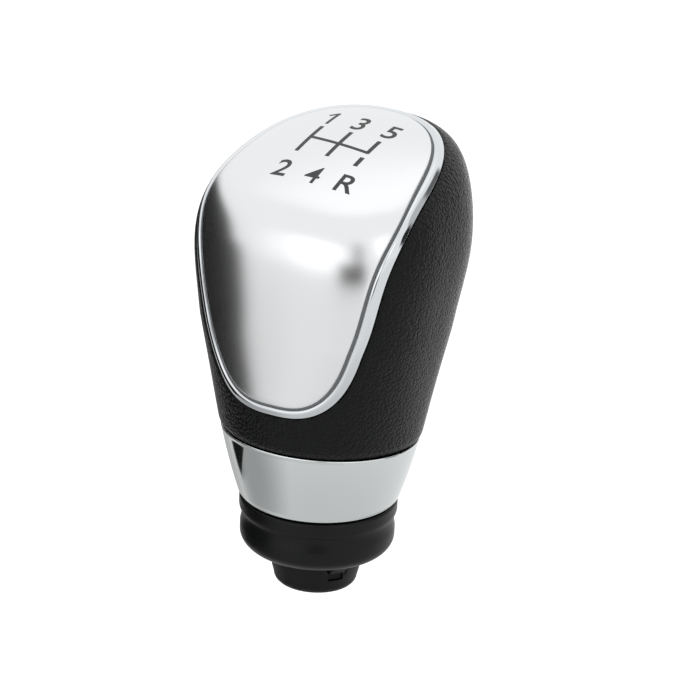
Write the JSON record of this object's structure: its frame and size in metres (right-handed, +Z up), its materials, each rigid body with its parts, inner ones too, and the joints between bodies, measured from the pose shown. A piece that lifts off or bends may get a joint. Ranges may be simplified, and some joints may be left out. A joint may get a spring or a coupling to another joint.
{
  "type": "gear shift knob",
  "caption": "Gear lever knob: grained grip with a satin shield in a chrome bezel, a slanted chrome ring, and a turning gaiter collar on a neck with a push-on lever socket.",
  "frame": {"origin": "centre of the lever bore's mouth, at the bottom of the neck", "axes": "+Z up the gear lever, -Y towards the driver, +X to the driver's right"},
  "size_m": [0.0474, 0.0475, 0.0865],
  "materials": {
    "core_plastic": "as moulded",
    "grip": "fine pebbled grain, low sheen",
    "carrier_plastic": "as moulded",
    "bezel_chrome": "polished",
    "tape": "adhesive film",
    "satin_plate": "satin, lightly polished",
    "ring_chrome": "polished",
    "neck_plastic": "as moulded",
    "insert_steel": "turned",
    "collar_plastic": "satin moulded",
    "screw_steel": "zinc plated"
  },
  "bodies": {
    "knob": {"core": "core_plastic", "grip_skin": "grip", "shield_carrier": "carrier_plastic", "shield_bezel": "bezel_chrome", "plate_tape": "tape", "shield_plate": "satin_plate", "chrome_ring": "ring_chrome", "neck_sleeve": "neck_plastic", "lever_insert": "insert_steel", "neck_screw_1": "screw_steel", "neck_screw_2": "screw_steel", "neck_screw_3": "screw_steel"},
    "collar": {"gaiter_collar": "collar_plastic"}
  },
  "joints": [
    {"name": "collar_swivel", "type": "hinge", "parent": "knob", "child": "collar", "pos_m": [0, 0, 0.012], "axis": [0, 0, 1], "continuous": true}
  ]
}
